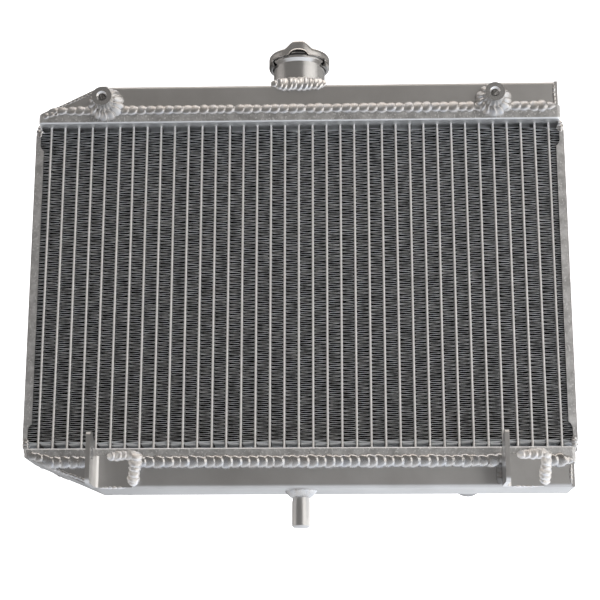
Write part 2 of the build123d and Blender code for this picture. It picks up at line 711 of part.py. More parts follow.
def build():
    top = (TOP_TANK_H, TOP_SLOPE_START_H, TOP_SLOPE_END_X)
    bottom = (BOTTOM_TANK_H, BOTTOM_SLOPE_START_H, BOTTOM_SLOPE_END_X)
    parts = {}

    parts["core_tubes"] = core_tubes()
    parts.update(fin_groups())
    right = side_plate()
    parts["right_side_plate"] = right
    parts["left_side_plate"] = mirror(right, about=Plane.YZ)

    inlet_hole = rod_y(INLET_X, INLET_Z, PIPE_R, 0, BIG)
    outlet_hole = rod_y(OUTLET_X, OUTLET_Z, PIPE_R, 0, BIG)
    bung_hole = rod_y(DRAIN_X, DRAIN_Z, DRAIN_BUNG_R, 0, BIG)
    neck_hole = rod_z(0, 0, NECK_R + NECK_HOLE_CLEARANCE, NECK_BOTTOM_Z - 1, BIG)

    top_header = top_side(header(top[0], TOP_SKIRT_H, top[1], top[2])) - inlet_hole
    top_shell = top_side(tank_shell(*top)) - inlet_hole - neck_hole
    bottom_header = bottom_side(header(bottom[0], BOTTOM_SKIRT_H, bottom[1], bottom[2]))
    bottom_header -= outlet_hole
    bottom_shell = bottom_side(tank_shell(*bottom)) - outlet_hole - bung_hole
    parts["top_header"] = top_header
    parts["bottom_header"] = bottom_header
    parts["top_tank_shell"] = top_shell
    parts["bottom_tank_shell"] = bottom_shell
    parts["top_tank_left_end"] = top_side(tank_left_end(*top))
    parts["top_tank_right_end"] = top_side(tank_right_end(TOP_TANK_H))
    parts["bottom_tank_left_end"] = bottom_side(tank_left_end(*bottom))
    parts["bottom_tank_right_end"] = bottom_side(tank_right_end(BOTTOM_TANK_H))

    parts["filler_neck"] = filler_neck()
    parts["overflow_pipe"] = overflow_pipe()
    parts["neck_weld"] = neck_weld([top_shell, parts["filler_neck"], rod_z(0, 0, NECK_R, 0, BIG)])

    bosses = []
    for name, x in (("upper_boss_left", -BOSS_X), ("upper_boss_right", BOSS_X)):
        parts[name] = upper_boss(x) - top_header
        bosses.append(parts[name])
    parts["inlet_pipe"] = hose_pipe(INLET_X, INLET_Z)
    parts["outlet_pipe"] = hose_pipe(OUTLET_X, OUTLET_Z)
    parts["drain_bung"] = drain_bung()

    boss_rods = [rod_y(x, BOSS_Z, BOSS_R, -BIG, 0) for x in (-BOSS_X, BOSS_X)]
    top_walls = [top_header, top_shell, parts["top_tank_left_end"], parts["top_tank_right_end"]]
    bottom_walls = [
        bottom_header, bottom_shell, parts["bottom_tank_left_end"], parts["bottom_tank_right_end"],
    ]
    boss_welds = [ring_weld(x, BOSS_Z, BOSS_R, -HALF_DEPTH, -BOSS_WELD_R, top_walls + [rod])
                  for x, rod in zip((-BOSS_X, BOSS_X), boss_rods)]
    parts["upper_boss_welds"] = group(boss_welds)
    proud = PIPE_WELD_R + HEADER_SHEET
    inlet_cutters = top_walls + [inlet_hole]
    outlet_cutters = bottom_walls + [outlet_hole]
    drain_cutters = bottom_walls + [bung_hole]
    inlet_weld = ring_weld(INLET_X, INLET_Z, PIPE_R, HALF_DEPTH, proud, inlet_cutters)
    outlet_weld = ring_weld(OUTLET_X, OUTLET_Z, PIPE_R, HALF_DEPTH, proud, outlet_cutters)
    parts["inlet_weld"] = inlet_weld
    parts["outlet_weld"] = outlet_weld
    parts["drain_weld"] = ring_weld(DRAIN_X, DRAIN_Z, DRAIN_BUNG_R, HALF_DEPTH, DRAIN_WELD_R, drain_cutters)

    brackets = []
    for name, x in zip(("lower_bracket_left", "lower_bracket_right"), BRACKET_X):
        parts[name] = lower_bracket(x)
        brackets.append(parts[name])

    top_seam = top_side(seam_weld(TOP_SKIRT_H, TOP_SEAM_HALF_H))
    for cutter in top_walls + boss_welds + boss_rods + [inlet_weld, inlet_hole]:
        top_seam -= cutter
    parts["top_seam_weld"] = group([top_seam])
    bottom_seam = bottom_side(seam_weld(BOTTOM_SKIRT_H, BOTTOM_SEAM_HALF_H))
    for cutter in bottom_walls + brackets + [outlet_weld, outlet_hole, parts["drain_weld"], bung_hole]:
        bottom_seam -= cutter
    parts["bottom_seam_weld"] = group([bottom_seam])
    parts["lower_bracket_welds"] = group([bracket_welds(bottom_walls + brackets + [bottom_seam])])
    top_ends = top_side(end_welds(*top, TOP_SKIRT_H))
    for cutter in top_walls + [top_seam] + boss_welds:
        top_ends -= cutter
    parts["top_end_welds"] = group([top_ends])
    bottom_ends = bottom_side(end_welds(*bottom, BOTTOM_SKIRT_H))
    for cutter in bottom_walls + [bottom_seam, parts["lower_bracket_welds"]] + brackets:
        bottom_ends -= cutter
    parts["bottom_end_welds"] = group([bottom_ends])

    parts["locating_peg"] = locating_peg()
    parts["peg_weld"] = peg_weld()
    parts["drain_washer"] = drain_washer()
    parts["drain_plug"] = drain_plug()

    parts["cap_shell"] = cap_shell()
    parts["cap_gasket"] = cap_gasket()
    parts["cap_spring_disc"] = cap_spring_disc()
    parts["cap_rivet"] = cap_rivet()
    parts["valve_bell"] = valve_bell()
    parts["pressure_valve_plate"] = pressure_valve_plate()
    parts["pressure_valve_gasket"] = pressure_valve_gasket()
    parts["pressure_spring"] = pressure_spring()
    parts["vacuum_guide"] = vacuum_guide()
    parts["vacuum_valve"] = vacuum_valve()
    parts["vacuum_spring"] = vacuum_spring()
    return parts


os.makedirs("parts", exist_ok=True)
for node, shape in build().items():
    export_step(shape, f"parts/{node}.step")
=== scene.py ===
import math
import random

import bmesh
import bpy
import numpy as np
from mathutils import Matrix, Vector


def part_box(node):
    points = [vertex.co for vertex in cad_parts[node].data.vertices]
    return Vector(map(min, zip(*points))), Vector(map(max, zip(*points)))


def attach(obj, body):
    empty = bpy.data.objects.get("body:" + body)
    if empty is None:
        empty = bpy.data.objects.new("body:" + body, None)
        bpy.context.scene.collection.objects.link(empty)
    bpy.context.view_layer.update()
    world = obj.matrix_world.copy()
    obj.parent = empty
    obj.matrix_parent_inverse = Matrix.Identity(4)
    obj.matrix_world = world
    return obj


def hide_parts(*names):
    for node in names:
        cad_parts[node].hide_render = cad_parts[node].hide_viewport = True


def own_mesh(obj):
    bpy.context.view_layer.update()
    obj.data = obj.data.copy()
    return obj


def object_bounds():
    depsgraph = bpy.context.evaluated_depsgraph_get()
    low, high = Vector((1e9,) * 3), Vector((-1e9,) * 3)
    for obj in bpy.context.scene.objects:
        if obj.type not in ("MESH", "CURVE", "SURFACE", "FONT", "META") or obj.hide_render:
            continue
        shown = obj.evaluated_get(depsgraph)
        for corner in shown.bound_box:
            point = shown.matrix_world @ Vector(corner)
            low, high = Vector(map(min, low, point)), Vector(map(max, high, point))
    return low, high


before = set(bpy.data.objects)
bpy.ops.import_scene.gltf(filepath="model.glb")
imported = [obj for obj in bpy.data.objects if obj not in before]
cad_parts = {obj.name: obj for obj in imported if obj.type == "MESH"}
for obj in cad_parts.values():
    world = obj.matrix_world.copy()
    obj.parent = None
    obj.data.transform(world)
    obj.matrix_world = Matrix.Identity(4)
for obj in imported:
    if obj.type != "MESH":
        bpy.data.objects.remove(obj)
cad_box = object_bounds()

MM = 0.001

# core
TUBE_COUNT = 37
TUBE_THICK = 1.7 * MM
FIN_WAVE = 2.72 * MM
FIN_SHEET = 0.24 * MM
FIN_FACE_RECESS = 0.5 * MM
FIN_SAG = 2.0 * MM
SAG_FADE = 4.0 * MM
FIN_LEAN = 0.04
FIN_START_GAP = (1.2 * MM, 3.0 * MM)
FIN_END_GAP = (0.6 * MM, 2.4 * MM)

# distances from the core's middle plane over which the painted highlights on fin edges and tube noses fade
# in
FIN_EDGE_HIGHLIGHT = (12.0 * MM, 12.45 * MM)
TUBE_NOSE_HIGHLIGHT = (12.35 * MM, 12.85 * MM)

# the painted highlight along a header's lip, and the pale band painted on the strips' lower ends where they
# show lit
LIP_HIGHLIGHT_HALF = 0.9 * MM
LIP_HIGHLIGHT_FADE = 0.3 * MM
PAINTED_LIT_END_BELOW = 2.0 * MM
PAINTED_LIT_END_ABOVE = 3.6 * MM
PAINTED_LIT_END_FADE = 0.9 * MM

# one fold: how far each point lies across the strip and how high, as shares of reach and wave
WALL = [(-0.75, 0.0), (0.0, 0.06), (0.75, 0.12)]
WALL_END = 0.16
TURN = [(0.88, 0.14), (0.97, 0.19), (1.0, 0.26), (1.0, 0.38), (0.97, 0.45), (0.88, 0.49)]
HALF_FOLD = 0.45

# how far a weld puddle reaches in pitches, and how high its start and the valleys beside it stand
LUMPS = (0.74, 0.5, 0.3)
SCALES = (1.0, 0.02, 0.16)
RIPPLES = (1.5, 0.5, 0.5)
FAN = (0.75, 0.1, 0.25)

# how much single puddles vary, and how finely a bead is drawn
PUDDLE_SHIFT = 0.13
PUDDLE_REACH = (0.93, 1.1)
PUDDLE_WIDTH = (0.88, 1.08)
PUDDLE_HEIGHT = (0.85, 1.12)
NARROWEST = 0.72
EDGE_SINK = 0.3
ROWS_PER_PUDDLE = 18
BEAD_COLUMNS = 17

# weld beads: half width, height, puddle pitch and puddle style
TOP_SEAM = (4.3 * MM, 2.7 * MM, 6.4 * MM, LUMPS)
TOP_CORNER = (2.6 * MM, 1.9 * MM, 4.6 * MM, LUMPS)
BOTTOM_SEAM = (4.9 * MM, 3.1 * MM, 5.8 * MM, SCALES)
BOTTOM_CORNER = (3.2 * MM, 2.0 * MM, 5.2 * MM, SCALES)
SLOPE_EDGE = (1.6 * MM, 1.4 * MM, 3.3 * MM, LUMPS)
RIGHT_EDGE = (1.5 * MM, 1.2 * MM, 3.1 * MM, LUMPS)
CORNER_TACK = (2.6 * MM, 1.8 * MM, 3.4 * MM, LUMPS)
BOSS_RING = (4.9 * MM, 3.8 * MM, 4.4 * MM, FAN)
NECK_RING = (4.8 * MM, 3.0 * MM, 5.6 * MM, SCALES)
NECK_EDGE = (6.0 * MM, 3.4 * MM, 3.5 * MM, SCALES)
PLATE_UPPER = (4.6 * MM, 3.6 * MM, 5.0 * MM, SCALES)
PLATE_LOWER = (4.4 * MM, 3.4 * MM, 4.2 * MM, SCALES)
PLATE_TOP = (4.1 * MM, 2.8 * MM, 4.2 * MM, SCALES)
PLATE_TACKS = (1.2 * MM, 1.9 * MM, 3.4 * MM, LUMPS)
BLADE_ROOT = (3.2 * MM, 2.2 * MM, 3.6 * MM, SCALES)
PEG_RING = (4.4 * MM, 1.5 * MM, 3.6 * MM, RIPPLES)
PIPE_RING = (3.2 * MM, 2.0 * MM, 4.0 * MM, SCALES)
DRAIN_RING = (2.6 * MM, 2.0 * MM, 4.0 * MM, SCALES)

# radii of the ring beads' middles, and how far from the headers' lips the tanks' left slopes start
BOSS_RING_R = 9.4 * MM
NECK_RING_R = 19.0 * MM
NECK_CLIMB = 2.6 * MM
NECK_EDGE_HALF = 20.0 * MM
PEG_RING_R = 8.0 * MM
PIPE_RING_R = 11.4 * MM
DRAIN_RING_R = 7.9 * MM
SLOPE_START = {"top": 7.5 * MM, "bottom": 6.5 * MM}

# bracket plates
PLATE_HEIGHT = 21.5 * MM
PLATE_SHEET = 3.0 * MM

# pressure cap
TAB_DROP = 4.0 * MM
TAB_FOOT = 2.8 * MM
TAB_HALF_ANGLE = 31
TAB_EDGE_ANGLE = 5
CROWN_HEIGHT = 6.5 * MM
# rings of points from the rivet hole to the crown's bend
CROWN_RADII = [2.6 * MM, 6 * MM, 9 * MM, 11 * MM, 13 * MM, 15 * MM, 17 * MM]
CROWN_BEND_R = 2.6 * MM
EAR_BEND_R = 1.4 * MM
CAP_SHEET = 1.0 * MM
CAP_SPOKES = 288
EAR_FOOT = 10.6 * MM
EAR_FLARE = 7.4 * MM
EAR_START_R = 8.0 * MM
EAR_RISE_LENGTH = 8.0 * MM
ARCH_HEIGHT = 3.7 * MM
ARCH_HALF_W = 6.8 * MM

# springs
SPRING_TURNS = 3.5
PRESSURE_WIRE = 1.8 * MM
PRESSURE_TRAVEL = 2.0 * MM
VACUUM_WIRE = 0.5 * MM
VACUUM_TRAVEL = 1.5 * MM
COIL_STATIONS = 150
COIL_SIDES = 14

# camera: place in metres from the origin, its height from the core's middle; degrees; millimetres
CAMERA_PLACE = (0.0322, -1.0344, -0.2732)
CAMERA_RISE = 14.304
CAMERA_TURN = -1.755
CAMERA_LENS = 90
CAMERA_FILM = 36

# the floor's depth below the radiator, and its glow: from and to, between two places along X or Y
FLOOR_DROP = 0.36
FLOOR_GLOW_X = ((0.18, 0.88), (-0.6, 0.7))
FLOOR_GLOW_Y = ((0.08, 1.0), (-1.2, -0.95))
BACKDROP_GLOW = 1.1

# area lights aimed at the radiator's middle: place, size, power, colour
LIGHTS = {
    "over": ((0.1, -0.5, 1.5), (1.6, 0.8), 5.5, (1.0, 0.92, 0.85)),
    "over_back": ((0.0, 0.5, 1.5), (1.6, 0.6), 3, (1.0, 0.96, 0.93)),
    "right": ((1.45, -1.0, 0.35), (2.4, 1.5), 13, (1.0, 0.97, 0.93)),
    "right_back": ((1.5, 0.8, 0.3), (1.7, 1.2), 8, (1.0, 0.98, 0.94)),
    "left": ((-1.5, 0.1, 0.3), (1.5, 1.2), 3.2, (1.0, 0.94, 0.9)),
    "behind": ((0.4, 1.5, 0.3), (1.6, 1.2), 5, (0.94, 0.97, 1.0)),
}
SKY_COLOUR = (0.35, 0.335, 0.32, 1)
SKY_STRENGTH = 0.5


# ---------------------------------------------------------------- materials

def new_material(name, metallic, roughness, specular=0.5):
    """A Principled material whose tree is ready for colour and bump nodes."""
    material = bpy.data.materials.new(name)
    material.use_nodes = True
    shader = material.node_tree.nodes["Principled BSDF"]
    shader.inputs["Metallic"].default_value = metallic
    shader.inputs["Roughness"].default_value = roughness
    shader.inputs["Specular IOR Level"].default_value = specular
    return material, material.node_tree, shader


def object_points(tree, stretch=(1, 1, 1)):
    """Object coordinates in metres, stretched along each axis."""
    coords = tree.nodes.new("ShaderNodeTexCoord")
    mapping = tree.nodes.new("ShaderNodeMapping")
    mapping.inputs["Scale"].default_value = stretch
    tree.links.new(coords.outputs["Object"], mapping.inputs["Vector"])
    return mapping.outputs["Vector"]


def noise(tree, points, scale, detail, rough=0.55):
    node = tree.nodes.new("ShaderNodeTexNoise")
    node.inputs["Scale"].default_value = scale
    node.inputs["Detail"].default_value = detail
    node.inputs["Roughness"].default_value = rough
    tree.links.new(points, node.inputs["Vector"])
    return node.outputs["Fac"]


def ramp(tree, value, stops):
    """Colour ramp from (position, (r, g, b)) stops."""
    node = tree.nodes.new("ShaderNodeValToRGB")
    elements = node.color_ramp.elements
    while len(elements) < len(stops):
        elements.new(0.5)
    for element, (position, colour) in zip(elements, stops):
        element.position = position
        element.color = (*colour, 1)
    tree.links.new(value, node.inputs["Fac"])
    return node.outputs["Color"]


def mix(tree, amount, first, second):
    node = tree.nodes.new("ShaderNodeMix")
    node.data_type = "RGBA"
    tree.links.new(amount, node.inputs["Factor"])
    for socket, value in ((node.inputs["A"], first), (node.inputs["B"], second)):
        if hasattr(value, "links"):
            tree.links.new(value, socket)
        else:
            socket.default_value = (*value, 1)
    return node.outputs["Result"]


def spread(tree, value, low, high, start=0.0, full=1.0):
    """Map start..full to low..high, and hold low and high beyond them."""
    node = tree.nodes.new("ShaderNodeMapRange")
    node.inputs["From Min"].default_value = start
    node.inputs["From Max"].default_value = full
    node.inputs["To Min"].default_value = low
    node.inputs["To Max"].default_value = high
    tree.links.new(value, node.inputs["Value"])
    return node.outputs["Result"]


def bump(tree, shader, height, depth, strength=1.0):
    node = tree.nodes.new("ShaderNodeBump")
    node.inputs["Strength"].default_value = strength
    node.inputs["Distance"].default_value = depth
    tree.links.new(height, node.inputs["Height"])
    tree.links.new(node.outputs["Normal"], shader.inputs["Normal"])


def grey(level, warmth=0.0):
    return (level * (1 + warmth), level, level * (1 - warmth))


def along(tree, axis):
    """One object coordinate in metres."""
    split = tree.nodes.new("ShaderNodeSeparateXYZ")
    tree.links.new(object_points(tree), split.inputs["Vector"])
    return split.outputs[axis]


def calculate(tree, operation, *values):
    node = tree.nodes.new("ShaderNodeMath")
    node.operation = operation
    for socket, value in zip(node.inputs, values):
        tree.links.new(value, socket)
    return node.outputs["Value"]


def band(tree, low, high, faded):
    """1 between two heights, fading to 0 outside them."""
    height = along(tree, "Z")
    above = spread(tree, height, 0.0, 1.0, low - faded, low)
    below = spread(tree, height, 0.0, 1.0, high + faded, high)
    return calculate(tree, "MULTIPLY", above, below)


def satin_aluminium():
    """Rolled tank sheet: fine lengthwise grain, faint stains."""
    material, tree, shader = new_material("tank_aluminium", 1.0, 0.4)
    grain = noise(tree, object_points(tree, (60, 900, 900)), 1.0, 3)
    stain = noise(tree, object_points(tree), 28.0, 5)
    tone = ramp(tree, stain, [(0.3, grey(0.56, 0.012)), (0.7, grey(0.66, 0.006))])
    tree.links.new(tone, shader.inputs["Base Color"])
    tree.links.new(spread(tree, grain, 0.36, 0.5), shader.inputs["Roughness"])
    bump(tree, shader, grain, 0.03 * MM)
    return material


def speckled_aluminium(name, base, speck_share, highlight_lip_z=None):
    """Brazed sheet with dull patches and bright flux specks; a highlight is painted along a header's lip.
    """
    material, tree, shader = new_material(name, 0.9, 0.5)
    patch = noise(tree, object_points(tree), 130.0, 7, 0.65)
    tone = ramp(tree, patch, [(0.34, grey(base * 0.66)), (0.64, grey(base * 1.04))])
    speck = noise(tree, object_points(tree, (1, 1, 0.7)), 800.0, 4)
    mask = ramp(tree, speck, [(speck_share, grey(0.0)), (speck_share + 0.06, grey(1.0))])
    tone = mix(tree, mask, tone, grey(0.84))
    if highlight_lip_z is not None:
        # painted highlight: a bright stripe coloured along the header's lip
        lip = band(tree, highlight_lip_z - LIP_HIGHLIGHT_HALF, highlight_lip_z + LIP_HIGHLIGHT_HALF, LIP_HIGHLIGHT_FADE)
        tone = mix(tree, lip, tone, grey(0.98, -0.02))
    tree.links.new(tone, shader.inputs["Base Color"])
    tree.links.new(spread(tree, patch, 0.36, 0.66), shader.inputs["Roughness"])
    bump(tree, shader, speck, 0.2 * MM, 0.8)
    return material


def near_faces(tree, start, full):
    """0 inside the core and 1 at its front and back faces, from the distance to the middle plane."""
    away = calculate(tree, "ABSOLUTE", along(tree, "Y"))
    return spread(tree, away, 0.0, 1.0, start, full)


def fin_foil():
    """Thin folded foil: a painted highlight on the edges at the core faces, painted shade deep inside the
    core.
    """
    material, tree, shader = new_material("fin_aluminium", 0.8, 0.42, 0.1)
    patch = noise(tree, object_points(tree), 160.0, 4)
    # painted shade: the foil deep inside the core is coloured nearly black
    inside = ramp(tree, patch, [(0.3, grey(0.004, -0.05)), (0.7, grey(0.02, -0.04))])
    # painted highlight: the foil's edges at the core faces are coloured bright
    edge = ramp(tree, patch, [(0.3, grey(0.3, -0.03)), (0.7, grey(1.0, -0.02))])
    tone = mix(tree, near_faces(tree, *FIN_EDGE_HIGHLIGHT), inside, edge)
    end_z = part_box("fins_centre")[0].z
    # painted light: the strips' lower ends above the bottom header are coloured pale and made less
    # metallic, to stand for the lit fin ends
    painted_lit_ends = band(tree, end_z - PAINTED_LIT_END_BELOW, end_z + PAINTED_LIT_END_ABOVE, PAINTED_LIT_END_FADE)
    tree.links.new(mix(tree, painted_lit_ends, tone, grey(0.92, -0.03)), shader.inputs["Base Color"])
    tree.links.new(spread(tree, painted_lit_ends, 0.8, 0.1), shader.inputs["Metallic"])
    return material


def tube_metal():
    """Drawn tubes with a painted highlight on the noses and painted shade on the sides."""
    material, tree, shader = new_material("tube_aluminium", 0.55, 0.45)
    patch = noise(tree, object_points(tree, (1, 1, 0.35)), 420.0, 4)
    # painted highlight on the tubes' noses; the grey 0.22 below is painted shade on their sides
    painted_nose_highlight = ramp(tree, patch, [(0.3, grey(0.88, 0.012)), (0.65, grey(1.0, 0.012))])
    tone = mix(tree, near_faces(tree, *TUBE_NOSE_HIGHLIGHT), grey(0.22), painted_nose_highlight)
    tree.links.new(tone, shader.inputs["Base Color"])
    bump(tree, shader, patch, 0.03 * MM)
    return material


def weld_bead_metal(name, level, roughness, crumple):
    """Rippled weld with a faint warm and cool tint; crumple is the depth of its fine lumps."""
    material, tree, shader = new_material(name, 1.0, roughness)
    tint = noise(tree, object_points(tree), 240.0, 4)
    warm = (level * 0.92, level * 0.88, level * 0.85)
    cool = (level * 0.93, level * 0.95, level)
    tone = ramp(tree, tint, [(0.3, warm), (0.5, grey(level, 0.01)), (0.7, cool)])
    tree.links.new(tone, shader.inputs["Base Color"])
    fine = noise(tree, object_points(tree), 520.0, 4)
    tree.links.new(spread(tree, fine, roughness - 0.08, roughness + 0.14), shader.inputs["Roughness"])
    bump(tree, shader, fine, crumple)
    return material


def turned_metal(name, roughness, level, warmth=0.01, dull_band=None):
    """Turned or pressed metal: faint streaks and fine even grain; dull_band is coloured dark."""
    material, tree, shader = new_material(name, 1.0, roughness)
    fine = noise(tree, object_points(tree, (1, 1, 5)), 900.0, 3)
    cloud = noise(tree, object_points(tree), 60.0, 4)
    tone = ramp(tree, cloud, [(0.3, grey(level * 0.88, warmth)), (0.7, grey(level, warmth * 0.5))])
    if dull_band:
        tone = mix(tree, band(tree, *dull_band, 0.8 * MM), tone, grey(0.2, 0.05))
    tree.links.new(tone, shader.inputs["Base Color"])
    tree.links.new(spread(tree, fine, roughness - 0.05, roughness + 0.05), shader.inputs["Roughness"])
    bump(tree, shader, fine, 0.006 * MM)
    return material


def black_rubber():
    material, tree, shader = new_material("gasket_rubber", 0.0, 0.7)
    fine = noise(tree, object_points(tree), 700.0, 3)
    tone = ramp(tree, fine, [(0.3, grey(0.02)), (0.7, grey(0.05))])
    tree.links.new(tone, shader.inputs["Base Color"])
    bump(tree, shader, fine, 0.05 * MM)
    return material


def brass_metal():
    material, tree, shader = new_material("brass", 1.0, 0.3)
    fine = noise(tree, object_points(tree), 400.0, 3)
    tone = ramp(tree, fine, [(0.3, (0.62, 0.45, 0.2)), (0.7, (0.78, 0.6, 0.3))])
    tree.links.new(tone, shader.inputs["Base Color"])
    return material


# ---------------------------------------------------------------- mesh tools

def mesh_piece(name, points, faces, material, body):
    """A new smooth-shaded mesh object that rides on a CAD body."""
    mesh = bpy.data.meshes.new(name)
    mesh.from_pydata([tuple(p) for p in points], [], [tuple(f) for f in faces])
    mesh.validate()
    shape = bmesh.new()
    shape.from_mesh(mesh)
    bmesh.ops.recalc_face_normals(shape, faces=shape.faces)
    shape.to_mesh(mesh)
    shape.free()
    mesh.materials.append(material)
    mesh.polygons.foreach_set("use_smooth", [True] * len(mesh.polygons))
    piece = bpy.data.objects.new(name, mesh)
    bpy.context.scene.collection.objects.link(piece)
    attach(piece, body)
    return piece


def dress(material, *names):
    """Give CAD nodes their visible material."""
    for name in names:
        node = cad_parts[name]
        node.data.materials.clear()
        node.data.materials.append(material)


# ---------------------------------------------------------------- core

def fin_line(reach, low, high, facing, rng):
    """Centre line of one strip in X and Z: level walls joined by tight turns, a wall at each end."""
    folds = round((high - low) / FIN_WAVE)
    pitch = (high - low) / (folds + WALL_END)
    shape = WALL + TURN
    shape = shape + [(-side, rise + HALF_FOLD) for side, rise in shape]
    points = [(-reach * facing, low)]
    for fold in range(folds):
        lean = rng.gauss(0, FIN_LEAN)
        for side, rise in shape:
            points.append((side * reach * facing, low + (fold + rise + lean * side) * pitch))
    for side, rise in WALL:
        points.append((side * reach * facing, low + (folds + rise) * pitch))
    points.append((reach * facing, low + (folds + WALL_END) * pitch))
    return np.array(points)


def strip_mesh(centre_x, line, front, back):
    """Both faces of the sheet and its two cut edges; the lowest walls sag towards the back."""
    tangent = np.gradient(line, axis=0)
    tangent /= np.linalg.norm(tangent, axis=1)[:, None]
    normal = np.stack([-tangent[:, 1], tangent[:, 0]], 1) * FIN_SHEET / 2
    sag = FIN_SAG * np.exp((line[0, 1] - line[:, 1]) / SAG_FADE)
    corners = []
    for side, depth, drop in ((1, front, 0), (1, back, 1), (-1, back, 1), (-1, front, 0)):
        flat = line + side * normal
        height = flat[:, 1] - drop * sag
        corners.append(np.stack([flat[:, 0] + centre_x, np.full(len(flat), depth), height], 1))
    points = np.concatenate(corners)
    n = len(line)
    faces = []
    for a, b in ((0, 1), (1, 2), (2, 3), (3, 0)):
        for i in range(n - 1):
            faces.append((a * n + i, a * n + i + 1, b * n + i + 1, b * n + i))
    faces.append((0, n, 2 * n, 3 * n))
    faces.append((4 * n - 1, 3 * n - 1, 2 * n - 1, n - 1))
    return points, faces


def make_fins(material):
    """The folded strips, in the same three groups as the CAD nodes."""
    rng = random.Random(11)
    tube_low, tube_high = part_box("core_tubes")
    pitch = (tube_high.x - tube_low.x - TUBE_THICK) / (TUBE_COUNT - 1)
    for node in ("fins_left", "fins_centre", "fins_right"):
        low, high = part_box(node)
        count = round((high.x - low.x + TUBE_THICK) / pitch)
        reach = (pitch - TUBE_THICK) / 2 - FIN_SHEET / 2
        points = []
        faces = []
        for i in range(count):
            centre = low.x + (pitch - TUBE_THICK) / 2 + i * pitch
            bottom = low.z + rng.uniform(*FIN_START_GAP)
            top = high.z - rng.uniform(*FIN_END_GAP)
            line = fin_line(reach, bottom, top, rng.choice((-1, 1)), rng)
            strip, quads = strip_mesh(centre, line, low.y + FIN_FACE_RECESS, high.y - FIN_FACE_RECESS)
            start = len(points)
            points.extend(strip)
            faces.extend(tuple(start + k for k in quad) for quad in quads)
        piece = mesh_piece(node + "_folded", points, faces, material, "radiator")
        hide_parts(node)


# ---------------------------------------------------------------- weld beads

def puddle_marks(length, pitch, spread_by, rng, closed):
    """Where each puddle sits along the bead, with its reach, width and height factors."""
    count = max(2, round(length / pitch))
    step = length / count
    marks = (np.arange(count) + 0.5) * step + rng.uniform(-PUDDLE_SHIFT, PUDDLE_SHIFT, count) * step
    reach = spread_by * rng.uniform(*PUDDLE_REACH, count) * step
    wide = rng.uniform(*PUDDLE_WIDTH, count)
    tall = rng.uniform(*PUDDLE_HEIGHT, count)
    if closed:
        marks = np.concatenate([marks - length, marks, marks + length])
        reach, wide, tall = (np.tile(values, 3) for values in (reach, wide, tall))
    return marks, reach, wide, tall


def bead_grid(length, place, shape, seed, closed):
    """Points of a bead made of overlapping puddles, each low where it starts and steep where it ends."""
    rng = np.random.default_rng(seed)
    half_width, height, pitch, (spread_by, low, valley) = shape
    rows = max(16, int(length / pitch * ROWS_PER_PUDDLE))
    marks, reach, wide, tall = puddle_marks(length, pitch, spread_by, rng, closed)
    across = np.sin(np.linspace(-1, 1, BEAD_COLUMNS) * math.pi / 2)
    points = []
    for s in np.linspace(0, length, rows, endpoint=not closed):
        centre, side, out, size = place(s)
        near = np.abs(marks - s) < reach
        u = (s - marks[near]) / reach[near]
        edge = wide[near] * np.sqrt(1 - u * u)
        outline = max(NARROWEST, edge.max() if near.any() else 0.0)
        spot = across * outline
        left = 1 - u[:, None] ** 2 - (spot[None, :] / wide[near][:, None]) ** 2
        rise = low + (1 - low) * np.clip((1 + u[:, None]) / 1.7, 0, 1)
        domes = tall[near][:, None] * rise * np.sqrt(np.clip(left, 0, 1)) ** 0.7
        floor = valley * np.sqrt(np.clip(1 - across * across, 0, 1))
        tops = np.maximum(domes.max(axis=0) if near.any() else 0.0, floor)
        sink = EDGE_SINK * np.abs(across) ** 8
        for t, h, d in zip(spot, tops, sink):
            points.append(centre + side * (t * half_width * size) + out * ((h - d) * height * size))
    return points, rows


def bead_faces(rows, closed, start):
    """Top skin, flat underside and two ends."""
    columns = BEAD_COLUMNS
    faces = []
    last = rows if closed else rows - 1
    for r in range(last):
        here = start + r * columns
        there = start + (r + 1) % rows * columns
        for c in range(columns - 1):
            faces.append((here + c, there + c, there + c + 1, here + c + 1))
        faces.append((here, here + columns - 1, there + columns - 1, there))
    if not closed:
        faces.append(tuple(start + c for c in range(columns)))
        faces.append(tuple(start + (rows - 1) * columns + c for c in reversed(range(columns))))
    return faces


def straight(start, end, out, taper=5 * MM, size=(1.0, 1.0)):
    """place() for a bead along a line; its ends shrink over the taper length."""
    start, end, out = (np.array(v, float) for v in (start, end, out))
    length = float(np.linalg.norm(end - start))
    along = (end - start) / length
    out -= along * out.dot(along)
    out /= np.linalg.norm(out)
    across = np.cross(out, along)

    def place(s):
        near_end = min(1.0, min(s, length - s) / taper)
        grown = size[0] + (size[1] - size[0]) * s / length
        return start + along * s, across, out, grown * (0.4 + 0.6 * math.sin(near_end * math.pi / 2))

    return length, place, False


def ring(centre, axis, radius, tilt, swell=None, lift=None):
    """place() for a bead round a circle; tilt leans its top from the axis towards the radius."""
    centre = np.array(centre, float)
    axis = np.array(axis, float)
    first = np.array((1.0, 0, 0))
    second = np.cross(axis, first)
    length = 2 * math.pi * radius

    def place(s):
        angle = s / radius
        radial = first * math.cos(angle) + second * math.sin(angle)
        out = axis * math.cos(tilt) + radial * math.sin(tilt)
        side = np.cross(out, np.cross(axis, radial))
        raised = axis * (lift(radial) if lift else 0.0)
        return centre + radial * radius + raised, side, out, swell(radial) if swell else 1.0

    return length, place, True


def joined_beads(beads, seed):
    """Points and faces of (path, bead shape) pairs; a ring's path is closed."""
    points = []
    faces = []
    for number, (path, shape) in enumerate(beads):
        length, place, closed = path
        grid, rows = bead_grid(length, place, shape, seed + number, closed)
        faces.extend(bead_faces(rows, closed, len(points)))
        points.extend(grid)
    return points, faces


def weld_piece(name, beads, material, replaced, seed):
    """Several beads joined as one piece that stands for a CAD weld node."""
    points, faces = joined_beads(beads, seed)
    piece = mesh_piece(name, points, faces, material, "radiator")
    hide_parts(replaced)


